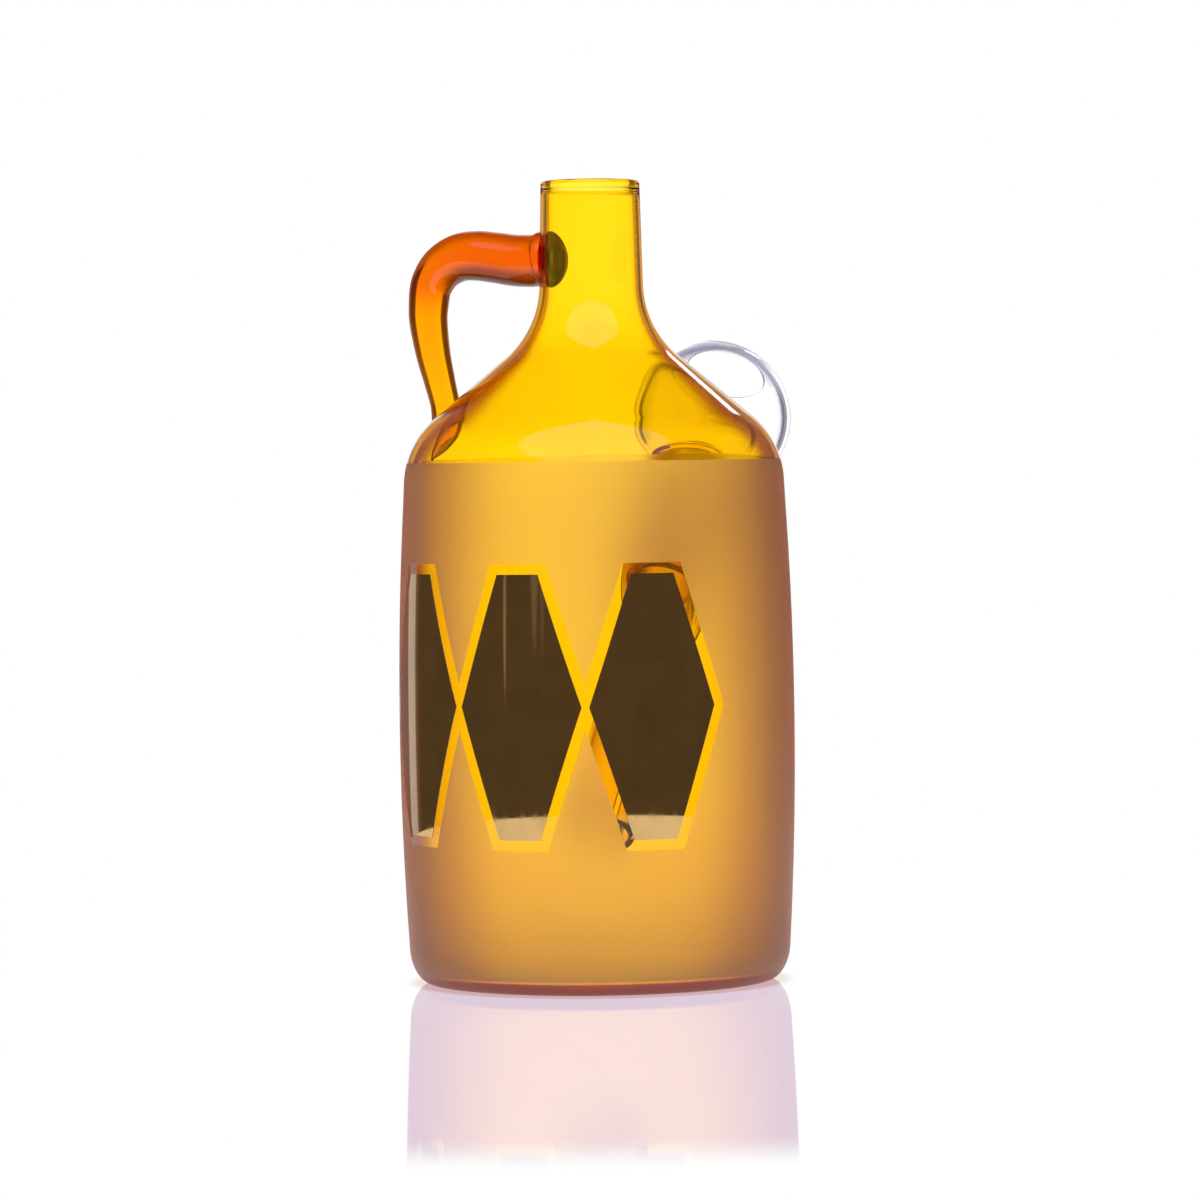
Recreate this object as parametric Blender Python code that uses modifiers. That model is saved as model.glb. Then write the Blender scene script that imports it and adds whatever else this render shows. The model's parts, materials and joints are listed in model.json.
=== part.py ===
"""Glass water pipe in the shape of a growler jug, as separate solids.

Metres, +Z up.  The origin is the centre of the flat base.  The band of lustre
motifs faces -Y, the handle is at -X, and the ground joint with its bowl is at +Y.
"""
from math import atan2, cos, degrees, pi, radians, sin, sqrt, tan

import bmesh
import bpy
from mathutils import Vector

MM = 0.001
GAP = 0.3 * MM                  # left between pieces that are fused or touch

# Jug
HEIGHT = 178 * MM
WALL = 2.0 * MM
BASE_RADIUS = 37.5 * MM         # flat contact face
BASE_EDGE_HEIGHT = 8.5 * MM     # rounded edge between base and side
BELLY_RADIUS = 44 * MM          # widest place
BELLY_HEIGHT = 58 * MM
SIDE_TAPER = 1.5 * MM           # how much the side draws in over BELLY_SPAN
BELLY_SPAN = 49.3 * MM
SIDE_TOP = 107 * MM             # end of the side, start of the shoulder
SHOULDER_CORNER = (41.9 * MM, 120.1 * MM)
SHOULDER_ROUND = 20 * MM
NECK_CORNER = (11.8 * MM, 145.1 * MM)
NECK_ROUND = 21 * MM
NECK_TOP_RADIUS = 11.05 * MM
LIP_ROUND = 0.8 * MM
JUG_SEGMENTS = 48

# Handle: (distance from the jug's axis, height, rod radius)
HANDLE_ROUTE = [
    (14.8, 160.2, 5.4), (18.5, 160.3, 5.5), (23.0, 161.1, 5.5), (28.0, 161.6, 5.5),
    (32.3, 161.2, 5.3),
    (36.6, 159.1, 5.0), (39.2, 155.5, 4.7), (39.9, 151.0, 4.5), (39.9, 147.0, 4.3),
    (38.9, 140.3, 3.9), (37.4, 133.7, 3.5), (36.6, 129.0, 3.3), (36.2, 121.0, 3.2),
]
HANDLE_STEPS = 3                # points between two route points
NECK_SEAL_HEIGHT = 160 * MM
NECK_SEAL_RADIUS = 6.5 * MM
NECK_SEAL_FACE = 14.2 * MM      # distance of its outer face from the jug's axis
FOOT_SEAL_PLACE = (36.4 * MM, 124.0 * MM)
FOOT_SEAL_HALF_SIZE = (3.8 * MM, 5.2 * MM, 8.0 * MM)    # off the wall, across, along it
FOOT_SEAL_TILT = radians(36)

# Ground joint at the back; lengths run along its axis from the outside of the wall
JOINT_ANGLE = radians(52)       # above the horizontal
JOINT_WALL_POINT = Vector((0, 43.5, 88.5)) * MM
STEM_RADIUS = 8 * MM
STEM_BORE = 6.5 * MM
STEM_INSIDE = 70.6 * MM
WALL_CROSSING = 25 * MM         # half the length over which the tubes slant through the wall
SLIT_LENGTH = 9 * MM
SLIT_WIDTH = 1.4 * MM
SLIT_PAIRS = 3
FIRST_SLIT_TURN = radians(15)
SOCKET_RADIUS = 9.5 * MM
SOCKET_END = 30.8 * MM
SOCKET_MOUTH_BORE = 7.4 * MM
TAPER = 0.05                    # radius lost for each unit of length: a 1 in 10 cone
TAPER_LENGTH = 18 * MM
SEAL_RADIUS = 11.2 * MM
SEAL_THICKNESS = 2.4 * MM       # how far the seal stands out from the wall
RING_SEGMENTS = 32

# Bowl: a blown cup on a male ground joint
CUP_CENTRE = 46.8 * MM
CUP_RADIUS = 18.4 * MM
CUP_WALL = 2.0 * MM
CUP_MOUTH = 11 * MM             # radius to the middle of the rim
CUP_HOLE = 2.6 * MM
BOWL_STEM_BORE = 4.6 * MM
BOWL_STEM_LENGTH = 18 * MM      # of the part that enters the socket
CUP_SEGMENTS = 36

# Lustre motifs: three tall lozenges with cut-off tips, fired on the front of the jug
MOTIF_ANGLES = {"left": -39.5, "centre": 0.0, "right": 39.5}
MOTIF_HALF_ANGLE = radians(18.7)
MOTIF_BOTTOM = 34 * MM
MOTIF_TOP = 91.4 * MM
MOTIF_TIP_SHARE = 0.34          # width of the cut-off tips, as a share of the full width
MOTIF_THICKNESS = 0.35 * MM

AMBER = (0.95, 0.40, 0.02, 1)
FROSTED_AMBER = (0.86, 0.42, 0.06, 1)
CLEAR = (0.90, 0.88, 0.92, 1)
LUSTRE = (0.08, 0.045, 0.02, 1)


def clear_scene():
    for old in list(bpy.data.objects):
        bpy.data.objects.remove(old)


def new_collection(name):
    collection = bpy.data.collections.new(name)
    bpy.context.scene.collection.children.link(collection)
    return collection


def finish(name, colour, roughness, metallic=0.0, glass=0.0):
    material = bpy.data.materials.new(name)
    material.use_nodes = True
    shader = material.node_tree.nodes["Principled BSDF"]
    shader.inputs["Base Color"].default_value = colour
    shader.inputs["Roughness"].default_value = roughness
    shader.inputs["Metallic"].default_value = metallic
    shader.inputs["Transmission Weight"].default_value = glass
    return material


def mesh_object(name, mesh, collection, material=None):
    piece = bpy.data.objects.new(name, mesh)
    collection.objects.link(piece)
    if material:
        mesh.materials.append(material)
    return piece


def shape_mesh(name, shape):
    """Mesh from a bmesh, which is then freed."""
    mesh = bpy.data.meshes.new(name)
    shape.to_mesh(mesh)
    shape.free()
    return mesh


def as_cutter(piece):
    piece.hide_render = True
    piece.display_type = "WIRE"
    return piece


def smooth(piece, crease_degrees=35):
    piece.data.shade_smooth()
    piece.data.set_sharp_from_angle(angle=radians(crease_degrees))


def turned(name, profile, segments, collection, material=None, closed=False, turn=2 * pi):
    """Spin a (radius, height) profile about Z; it runs down its outer side."""
    points = [(radius, 0, height) for radius, height in profile]
    edges = [(i, i + 1) for i in range(len(points) - 1)]
    if closed:
        edges.append((len(points) - 1, 0))
    mesh = bpy.data.meshes.new(name)
    mesh.from_pydata(points, edges, [])
    piece = mesh_object(name, mesh, collection, material)
    screw = piece.modifiers.new("Screw", "SCREW")
    screw.angle = turn
    screw.steps = segments
    screw.render_steps = segments
    screw.use_merge_vertices = True
    screw.merge_threshold = 0.00001
    screw.use_smooth_shade = True
    return piece


def cut(piece, cutter, operation="DIFFERENCE"):
    boolean = piece.modifiers.new("Cut", "BOOLEAN")
    boolean.operation = operation
    boolean.object = cutter
    boolean.solver = "EXACT"
    return piece


def arc(centre, radius, start, end, steps):
    """Points of an arc in the (radius, height) plane, angles in degrees."""
    angles = [radians(start + (end - start) * i / steps) for i in range(steps + 1)]
    return [(centre[0] + radius * cos(a), centre[1] + radius * sin(a)) for a in angles]


def rounded_corner(before, corner, after, radius, steps):
    """Arc that rounds the corner between two straight stretches."""
    corner = Vector(corner)
    towards_before = (Vector(before) - corner).normalized()
    towards_after = (Vector(after) - corner).normalized()
    half_angle = towards_before.angle(towards_after) / 2
    middle = (towards_before + towards_after).normalized()
    centre = corner + middle * radius / sin(half_angle)
    first = corner + towards_before * radius / tan(half_angle)
    last = corner + towards_after * radius / tan(half_angle)
    start = degrees(atan2(first.y - centre.y, first.x - centre.x))
    end = degrees(atan2(last.y - centre.y, last.x - centre.x))
    if end - start > 180:
        end -= 360
    if end - start < -180:
        end += 360
    return arc(centre, radius, start, end, steps)


def side_radius(height):
    return BELLY_RADIUS - SIDE_TAPER * ((height - BELLY_HEIGHT) / BELLY_SPAN) ** 2


def side_points(bottom, top, steps):
    heights = [top + (bottom - top) * i / steps for i in range(steps + 1)]
    return [(side_radius(height), height) for height in heights]


def offset(points, distance):
    """Move an open outline along its normals; a positive distance goes outwards."""
    moved = []
    for i, point in enumerate(points):
        before = Vector(points[max(i - 1, 0)])
        after = Vector(points[min(i + 1, len(points) - 1)])
        along = (after - before).normalized()
        moved.append((point[0] - along.y * distance, point[1] + along.x * distance))
    return moved


def jug_outline():
    """Outside of the jug, from under the lip down to the edge of the flat base."""
    neck_top = (NECK_TOP_RADIUS, HEIGHT - LIP_ROUND)
    side_top = (side_radius(SIDE_TOP), SIDE_TOP)
    neck = rounded_corner(neck_top, NECK_CORNER, SHOULDER_CORNER, NECK_ROUND, 6)
    shoulder = rounded_corner(NECK_CORNER, SHOULDER_CORNER, side_top, SHOULDER_ROUND, 6)
    side = side_points(BASE_EDGE_HEIGHT, SIDE_TOP, 8)
    edge_width = side_radius(BASE_EDGE_HEIGHT) - BASE_RADIUS
    edge_angles = [radians(15 * i) for i in range(1, 6)]
    edge = [(BASE_RADIUS + edge_width * cos(a), BASE_EDGE_HEIGHT * (1 - sin(a)))
            for a in edge_angles]
    return [neck_top] + neck + shoulder + side + edge + [(BASE_RADIUS, 0)]


def make_jug(parts, material):
    outline = jug_outline()
    inside = offset(outline, -WALL)[1:]
    inside[-1] = (inside[-1][0], WALL)
    inner_lip = NECK_TOP_RADIUS - WALL
    lip_outer = arc((NECK_TOP_RADIUS - LIP_ROUND, HEIGHT - LIP_ROUND), LIP_ROUND, 90, 0, 3)
    lip_inner = arc((inner_lip + LIP_ROUND, HEIGHT - LIP_ROUND), LIP_ROUND, 180, 90, 3)
    profile = [(0, WALL)] + inside[::-1] + lip_inner + lip_outer + outline[1:] + [(0, 0)]
    return turned("jug_body", profile, JUG_SEGMENTS, parts, material)


def make_envelope(name, distance, cutters):
    """The jug's outside, a little larger, which trims what is fused to it."""
    outline = offset(jug_outline(), distance)
    top = (outline[0][0], HEIGHT + 5 * MM)
    profile = [(0, top[1]), top] + outline[1:] + [(0, outline[-1][1])]
    return as_cutter(turned(name, profile, JUG_SEGMENTS, cutters))


def spline_point(before, start, end, after, share):
    """Catmull-Rom point between start and end."""
    square, cube = share * share, share ** 3
    return (start * (2 - 5 * square + 3 * cube) + end * (share + 4 * square - 3 * cube)
            + before * (2 * square - share - cube) + after * (cube - square)) / 2


def handle_points():
    route = [Vector((-reach, height, rod)) * MM for reach, height, rod in HANDLE_ROUTE]
    ends = [2 * route[0] - route[1]] + route + [2 * route[-1] - route[-2]]
    points = []
    for i in range(1, len(ends) - 2):
        for step in range(HANDLE_STEPS):
            points.append(spline_point(*ends[i - 1:i + 3], step / HANDLE_STEPS))
    return points + [route[-1]]


def make_handle(parts, material, envelope, foot_cutter):
    points = handle_points()
    thickest = max(point.z for point in points)
    curve = bpy.data.curves.new("handle_rod", "CURVE")
    curve.dimensions = "3D"
    curve.bevel_depth = thickest
    curve.bevel_resolution = 5
    curve.use_fill_caps = True
    spline = curve.splines.new("POLY")
    spline.points.add(len(points) - 1)
    for spline_end, point in zip(spline.points, points):
        spline_end.co = (point.x, 0, point.y, 1)
        spline_end.radius = point.z / thickest
    rod = bpy.data.objects.new("handle_rod", curve)
    parts.objects.link(rod)
    evaluated = rod.evaluated_get(bpy.context.evaluated_depsgraph_get())
    mesh = bpy.data.meshes.new_from_object(evaluated)
    welded = bmesh.new()
    welded.from_mesh(mesh)
    bmesh.ops.remove_doubles(welded, verts=welded.verts, dist=0.00001)
    handle = mesh_object("handle", shape_mesh("handle", welded), parts, material)
    handle.matrix_world = rod.matrix_world.copy()
    bpy.data.objects.remove(rod)
    smooth(handle)
    cut(handle, envelope)
    cut(handle, foot_cutter)
    return handle


def make_neck_seal(parts, material, envelope):
    """Disc of glass between the neck and the upper end of the handle."""
    inner_end = NECK_TOP_RADIUS - 3 * MM
    round_radius = 1.2 * MM
    centre = (NECK_SEAL_RADIUS - round_radius, NECK_SEAL_FACE - round_radius)
    profile = [(0, NECK_SEAL_FACE)] + arc(centre, round_radius, 90, 0, 3)
    profile += [(NECK_SEAL_RADIUS, inner_end), (0, inner_end)]
    seal = turned("handle_neck_seal", profile, RING_SEGMENTS, parts, material)
    seal.rotation_euler = (0, radians(-90), 0)
    seal.location = (0, 0, NECK_SEAL_HEIGHT)
    cut(seal, envelope)
    return seal


def foot_pad(name, growth, collection, material=None):
    """Oval of glass lying on the shoulder where the handle's lower end is fused."""
    ball = bmesh.new()
    bmesh.ops.create_uvsphere(ball, u_segments=20, v_segments=12, radius=1)
    half_size = Vector(FOOT_SEAL_HALF_SIZE) + Vector((growth, growth, growth))
    bmesh.ops.scale(ball, vec=half_size, verts=ball.verts)
    pad = mesh_object(name, shape_mesh(name, ball), collection, material)
    pad.data.shade_smooth()
    pad.location = (-FOOT_SEAL_PLACE[0], 0, FOOT_SEAL_PLACE[1])
    pad.rotation_euler = (0, FOOT_SEAL_TILT, 0)
    return pad


def joint_axis(name):
    """Empty on the wall whose Z axis is the axis of the ground joint."""
    empty = bpy.data.objects.new(name, None)
    bpy.context.scene.collection.objects.link(empty)
    empty.location = JOINT_WALL_POINT
    empty.rotation_euler = (JOINT_ANGLE - radians(90), 0, 0)
    return empty


def rod_cutter(name, radius, low, high, cutters, axis):
    rod = bmesh.new()
    bmesh.ops.create_cone(rod, cap_ends=True, segments=RING_SEGMENTS, radius1=radius,
                          radius2=radius, depth=high - low)
    bmesh.ops.translate(rod, verts=rod.verts, vec=(0, 0, (high + low) / 2))
    cutter = as_cutter(mesh_object(name, shape_mesh(name, rod), cutters))
    cutter.parent = axis
    return cutter


def make_downstem(parts, cutters, material, axis, seal_limit):
    """Fixed tube from the wall down into the jug, slit at its lower end."""
    low, high = -STEM_INSIDE, WALL_CROSSING
    profile = [(STEM_RADIUS, high), (STEM_RADIUS, low), (STEM_BORE, low), (STEM_BORE, high)]
    downstem = turned("downstem", profile, RING_SEGMENTS, parts, material, closed=True)
    downstem.parent = axis
    cut(downstem, seal_limit, "INTERSECT")
    for number in range(SLIT_PAIRS):
        name = f"slit_{number + 1}"
        blade = bmesh.new()
        bmesh.ops.create_cube(blade, size=1)
        bmesh.ops.scale(blade, verts=blade.verts,
                        vec=(4 * STEM_RADIUS, SLIT_WIDTH, 2 * SLIT_LENGTH))
        slit = as_cutter(mesh_object(name, shape_mesh(name, blade), cutters))
        slit.parent = axis
        slit.location = (0, 0, low)
        slit.rotation_euler = (0, 0, FIRST_SLIT_TURN + number * pi / SLIT_PAIRS)
        cut(downstem, slit)
    return downstem


def make_socket(parts, material, axis, socket_limit):
    """Female ground joint: a tapered bore in a straight tube."""
    low, high = -WALL_CROSSING, SOCKET_END
    taper_end = high - TAPER_LENGTH
    end_bore = SOCKET_MOUTH_BORE - TAPER * TAPER_LENGTH
    round_radius = 0.8 * MM
    rim = arc((SOCKET_RADIUS - round_radius, high - round_radius), round_radius, 90, 0, 3)
    profile = rim + [(SOCKET_RADIUS, low), (STEM_BORE, low),
                     (end_bore, taper_end), (SOCKET_MOUTH_BORE, high)]
    socket = turned("joint_socket", profile, RING_SEGMENTS, parts, material, closed=True)
    socket.parent = axis
    cut(socket, socket_limit)
    return socket


def make_socket_seal(parts, material, axis, envelope, seal_limit):
    """Oval collar of glass round the tube where it passes through the wall."""
    bore = STEM_RADIUS + GAP
    low, high = -WALL_CROSSING, WALL_CROSSING
    profile = [(SEAL_RADIUS, high), (SEAL_RADIUS, low), (bore, low), (bore, high)]
    seal = turned("socket_seal", profile, RING_SEGMENTS, parts, material, closed=True)
    seal.parent = axis
    cut(seal, seal_limit, "INTERSECT")
    cut(seal, envelope)
    return seal


def make_bowl_cup(parts, material, axis):
    """Blown cup, open at the far side, with a flattened floor and a hole into the joint."""
    inner_radius = CUP_RADIUS - CUP_WALL
    middle_radius = CUP_RADIUS - CUP_WALL / 2
    under = SOCKET_END + GAP - CUP_CENTRE
    floor = under + CUP_WALL
    mouth_angle = degrees(atan2(sqrt(middle_radius ** 2 - CUP_MOUTH ** 2), CUP_MOUTH))
    floor_angle = degrees(atan2(floor, sqrt(inner_radius ** 2 - floor ** 2)))
    under_angle = degrees(atan2(under, sqrt(CUP_RADIUS ** 2 - under ** 2)))
    centre = (0, CUP_CENTRE)
    inside = [(CUP_HOLE, CUP_CENTRE + floor)]
    inside += arc(centre, inner_radius, floor_angle, mouth_angle, 10)
    rim_centre = arc(centre, middle_radius, mouth_angle, mouth_angle, 1)[0]
    rim = arc(rim_centre, CUP_WALL / 2, mouth_angle + 180, mouth_angle, 4)
    outside = arc(centre, CUP_RADIUS, mouth_angle, under_angle, 13)
    profile = inside + rim[1:-1] + outside + [(CUP_HOLE, CUP_CENTRE + under)]
    cup = turned("bowl_cup", profile, CUP_SEGMENTS, parts, material, closed=True)
    cup.parent = axis
    return cup


def make_bowl_stem(parts, material, axis):
    """Male ground joint: a tube whose outside tapers like the socket's bore."""
    mouth_radius = SOCKET_MOUTH_BORE - GAP
    low, high = SOCKET_END - BOWL_STEM_LENGTH, SOCKET_END
    low_radius = mouth_radius - TAPER * BOWL_STEM_LENGTH
    profile = [(mouth_radius, high), (low_radius, low), (BOWL_STEM_BORE, low),
               (BOWL_STEM_BORE, high)]
    stem = turned("bowl_stem", profile, RING_SEGMENTS, parts, material, closed=True)
    stem.parent = axis
    return stem


def lozenge_prism(side, angle, cutters):
    half_width = BELLY_RADIUS * sin(MOTIF_HALF_ANGLE)
    half_height = (MOTIF_TOP - MOTIF_BOTTOM) / 2 / (1 - MOTIF_TIP_SHARE)
    inner_end, outer_end = BELLY_RADIUS / 2, BELLY_RADIUS * 1.2
    name = f"lozenge_{side}"
    prism = bmesh.new()
    bmesh.ops.create_cone(prism, cap_ends=True, segments=4, radius1=1, radius2=1,
                          depth=outer_end - inner_end)
    bmesh.ops.scale(prism, verts=prism.verts, vec=(half_width, half_height, 1))
    bmesh.ops.translate(prism, verts=prism.verts, vec=(0, 0, (inner_end + outer_end) / 2))
    cutter = as_cutter(mesh_object(name, shape_mesh(name, prism), cutters))
    cutter.location = (0, 0, (MOTIF_TOP + MOTIF_BOTTOM) / 2)
    cutter.rotation_euler = (radians(90), 0, angle)
    return cutter


def make_motif(side, angle, parts, cutters, material):
    """Thin lozenge of lustre on the jug's side, whose tips end with the band around it."""
    faces = side_points(MOTIF_BOTTOM, MOTIF_TOP, 8)
    outer = [(radius + GAP + MOTIF_THICKNESS, height) for radius, height in faces]
    inner = [(radius + GAP, height) for radius, height in faces]
    motif = turned(f"lustre_motif_{side}", outer + inner[::-1], JUG_SEGMENTS, parts,
                   material, closed=True)
    cut(motif, lozenge_prism(side, angle, cutters), "INTERSECT")
    return motif


def main():
    clear_scene()
    parts = new_collection("growler_water_pipe")
    cutters = new_collection("cutters")

    envelope = make_envelope("wall_clearance", GAP, cutters)
    seal_limit = make_envelope("seal_limit", SEAL_THICKNESS + GAP, cutters)
    socket_limit = make_envelope("socket_limit", SEAL_THICKNESS + 2 * GAP, cutters)
    axis = joint_axis("ground_joint_axis")
    bowl_axis = joint_axis("bowl_slide_axis")

    jug = make_jug(parts, finish("frosted_amber_glass", FROSTED_AMBER, 0.5, glass=0.6))
    cut(jug, rod_cutter("wall_hole", STEM_RADIUS + GAP, -WALL_CROSSING, WALL_CROSSING,
                        cutters, axis))

    foot_cutter = as_cutter(foot_pad("foot_clearance", GAP, cutters))
    make_handle(parts, finish("amber_rod_glass", AMBER, 0.03, glass=0.8), envelope,
                foot_cutter)
    make_neck_seal(parts, finish("amber_neck_weld", AMBER, 0.03, glass=0.8), envelope)
    foot = foot_pad("handle_foot_seal", 0, parts,
                    finish("amber_foot_weld", AMBER, 0.03, glass=0.8))
    cut(foot, envelope)

    make_downstem(parts, cutters, finish("amber_tube_glass", AMBER, 0.03, glass=0.9), axis,
                  seal_limit)
    make_socket(parts, finish("amber_joint_glass", AMBER, 0.03, glass=0.9), axis,
                socket_limit)
    make_socket_seal(parts, finish("amber_socket_weld", AMBER, 0.03, glass=0.9), axis,
                     envelope, seal_limit)
    make_bowl_cup(parts, finish("clear_cup_glass", CLEAR, 0.02, glass=1.0), bowl_axis)
    make_bowl_stem(parts, finish("clear_stem_glass", CLEAR, 0.15, glass=1.0), bowl_axis)

    for side, turn_degrees in MOTIF_ANGLES.items():
        lustre = finish(f"dark_lustre_{side}", LUSTRE, 0.2, metallic=0.9)
        make_motif(side, radians(turn_degrees), parts, cutters, lustre)


main()
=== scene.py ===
import json
from math import atan2, ceil, cos, degrees, pi, radians, sin, sqrt, tan

import bmesh
import bpy
from mathutils import Matrix, Vector, noise


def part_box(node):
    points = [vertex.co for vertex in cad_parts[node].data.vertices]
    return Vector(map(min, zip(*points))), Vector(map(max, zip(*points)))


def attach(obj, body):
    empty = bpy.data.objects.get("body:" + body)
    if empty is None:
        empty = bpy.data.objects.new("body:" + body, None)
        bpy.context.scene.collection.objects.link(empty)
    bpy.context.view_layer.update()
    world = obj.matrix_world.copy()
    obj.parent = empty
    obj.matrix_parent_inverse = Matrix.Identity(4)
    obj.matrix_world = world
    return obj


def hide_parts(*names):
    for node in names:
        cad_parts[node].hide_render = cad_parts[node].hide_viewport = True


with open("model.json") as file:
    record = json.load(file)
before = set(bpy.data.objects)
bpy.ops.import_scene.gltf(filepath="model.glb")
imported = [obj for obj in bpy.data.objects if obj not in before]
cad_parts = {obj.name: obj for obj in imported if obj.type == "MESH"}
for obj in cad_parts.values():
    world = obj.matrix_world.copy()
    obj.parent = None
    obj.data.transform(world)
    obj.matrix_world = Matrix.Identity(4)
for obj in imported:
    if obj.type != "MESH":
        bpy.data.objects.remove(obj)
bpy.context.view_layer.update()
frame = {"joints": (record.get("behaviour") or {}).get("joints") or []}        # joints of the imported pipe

mm = 0.001
scene = bpy.context.scene
glassIor = 1.47
slide = next(joint for joint in frame["joints"] if joint["name"] == "bowl_lift")
jointAxis = Vector(slide["axis"]).normalized()


def addNode(tree, kind, values=None, **settings):
    made = tree.nodes.new(kind)
    for name, value in settings.items():
        setattr(made, name, value)
    for key, value in (values or {}).items():
        if isinstance(value, bpy.types.NodeSocket):
            tree.links.new(value, made.inputs[key])
        else:
            made.inputs[key].default_value = value
    return made


def maths(tree, operation, first, second=0.0):
    return addNode(tree, "ShaderNodeMath", {0: first, 1: second}, operation=operation).outputs[0]


def noiseAt(tree, where, scale, detail=2.0, roughness=0.5, stretch=(1, 1, 1)):
    placed = addNode(tree, "ShaderNodeMapping", {"Vector": where, "Scale": stretch})
    made = addNode(tree, "ShaderNodeTexNoise",
                   {"Vector": placed.outputs[0], "Scale": scale, "Detail": detail,
                    "Roughness": roughness})
    return made.outputs["Fac"]


def remap(tree, value, low, high, toLow, toHigh, smooth=True):
    made = addNode(tree, "ShaderNodeMapRange",
                   {"Value": value, "From Min": low, "From Max": high,
                    "To Min": toLow, "To Max": toHigh},
                   interpolation_type="SMOOTHSTEP" if smooth else "LINEAR")
    return made.outputs[0]


def blendColours(tree, share, first, second):
    made = addNode(tree, "ShaderNodeMix", {0: share, 6: first, 7: second}, data_type="RGBA")
    return made.outputs[2]


def multiplyColours(tree, first, second):
    made = addNode(tree, "ShaderNodeVectorMath", {0: first, 1: second}, operation="MULTIPLY")
    return made.outputs[0]


def bumpFrom(tree, height, strength, distance):
    values = {"Height": height, "Strength": strength, "Distance": distance}
    return addNode(tree, "ShaderNodeBump", values).outputs[0]


def startMaterial(name):
    material = bpy.data.materials.new(name)
    material.use_nodes = True
    tree = material.node_tree
    shader = tree.nodes["Principled BSDF"]
    where = addNode(tree, "ShaderNodeTexCoord").outputs["Object"]
    return material, tree, shader, where


def absorb(tree, perMetre):
    strongest = max(perMetre)
    colour = [1 - share / strongest for share in perMetre] + [1]
    volume = addNode(tree, "ShaderNodeVolumeAbsorption",
                     {"Color": colour, "Density": strongest})
    tree.links.new(volume.outputs[0], tree.nodes["Material Output"].inputs["Volume"])


def makePiece(name, mesh, body, nodes, material):
    piece = bpy.data.objects.new(name, mesh)
    scene.collection.objects.link(piece)
    mesh.materials.append(material)
    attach(piece, body)
    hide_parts(*nodes)
    return piece


def arcPoints(centre, radius, start, end, steps):
    angles = [radians(start + (end - start) * i / steps) for i in range(steps + 1)]
    return [(centre[0] + radius * cos(a), centre[1] + radius * sin(a)) for a in angles]


def roundCorner(before, corner, after, radius, steps):
    corner = Vector(corner)
    toBefore = (Vector(before) - corner).normalized()
    toAfter = (Vector(after) - corner).normalized()
    half = toBefore.angle(toAfter) / 2
    centre = corner + (toBefore + toAfter).normalized() * radius / sin(half)
    first = corner + toBefore * radius / tan(half) - centre
    last = corner + toAfter * radius / tan(half) - centre
    start, end = degrees(atan2(first.y, first.x)), degrees(atan2(last.y, last.x))
    end -= 360 * round((end - start) / 360)
    return arcPoints(centre, radius, start, end, steps)


def evenly(points, spacing):
    spread = [points[0]]
    for a, b in zip(points, points[1:]):
        length = sqrt((b[0] - a[0]) ** 2 + (b[1] - a[1]) ** 2)
        steps = max(1, ceil(length / spacing))
        for i in range(1, steps + 1):
            spread.append((a[0] + (b[0] - a[0]) * i / steps, a[1] + (b[1] - a[1]) * i / steps))
    return spread


def offsetOutline(points, distanceAt):
    moved = []
    for i, point in enumerate(points):
        before = Vector(points[max(i - 1, 0)])
        after = Vector(points[min(i + 1, len(points) - 1)])
        along = (after - before).normalized()
        gap = distanceAt(point)
        moved.append((point[0] - along.y * gap, point[1] + along.x * gap))
    return moved


def meshFrom(shape, name, crease):
    bmesh.ops.recalc_face_normals(shape, faces=shape.faces)
    mesh = bpy.data.meshes.new(name)
    shape.to_mesh(mesh)
    shape.free()
    mesh.shade_smooth()
    mesh.set_sharp_from_angle(angle=radians(crease))
    return mesh


def turnProfile(name, profile, segments, closed=True, marks=None):
    shape = bmesh.new()
    markLayer = shape.verts.layers.float.new("outerSide") if marks else None
    rings = []
    for number, (radius, height) in enumerate(profile):
        count = segments if radius > 1e-6 else 1
        ring = []
        for i in range(count):
            angle = 2 * pi * i / segments
            vert = shape.verts.new((radius * cos(angle), radius * sin(angle), height))
            if marks:
                vert[markLayer] = marks[number]
            ring.append(vert)
        rings.append(ring)
    pairs = list(zip(rings, rings[1:]))
    if closed:
        pairs.append((rings[-1], rings[0]))
    for upper, lower in pairs:
        for i in range(segments):
            j = (i + 1) % segments
            corners = []
            for vert in (upper[i % len(upper)], lower[i % len(lower)],
                         lower[j % len(lower)], upper[j % len(upper)]):
                if vert not in corners:
                    corners.append(vert)
            if len(corners) > 2:
                shape.faces.new(corners)
    return meshFrom(shape, name, 40)


view = {
    "azimuth": radians(23),
    "distance": 1.2,
    "height": 115.2 * mm,
    "aimHeight": 84.7 * mm,
    "aimRight": 1.0 * mm,
    "lean": radians(0.78),
    "lens": 161.6,
}


def makeCamera():
    data = bpy.data.cameras.new("camera")
    data.lens = view["lens"]
    data.sensor_width = 36
    data.clip_start, data.clip_end = 0.05, 50
    eye = bpy.data.objects.new("camera", data)
    scene.collection.objects.link(eye)
    back = Vector((sin(view["azimuth"]), -cos(view["azimuth"]), 0))
    right = Vector((cos(view["azimuth"]), sin(view["azimuth"]), 0))
    place = back * view["distance"] + Vector((0, 0, view["height"]))
    aim = right * view["aimRight"] + Vector((0, 0, view["aimHeight"]))
    turn = (aim - place).to_track_quat("-Z", "Y").to_matrix().to_4x4()
    eye.matrix_world = (Matrix.Translation(place) @ turn
                        @ Matrix.Rotation(-view["lean"], 4, "Z"))
    scene.camera = eye
    return eye


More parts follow.
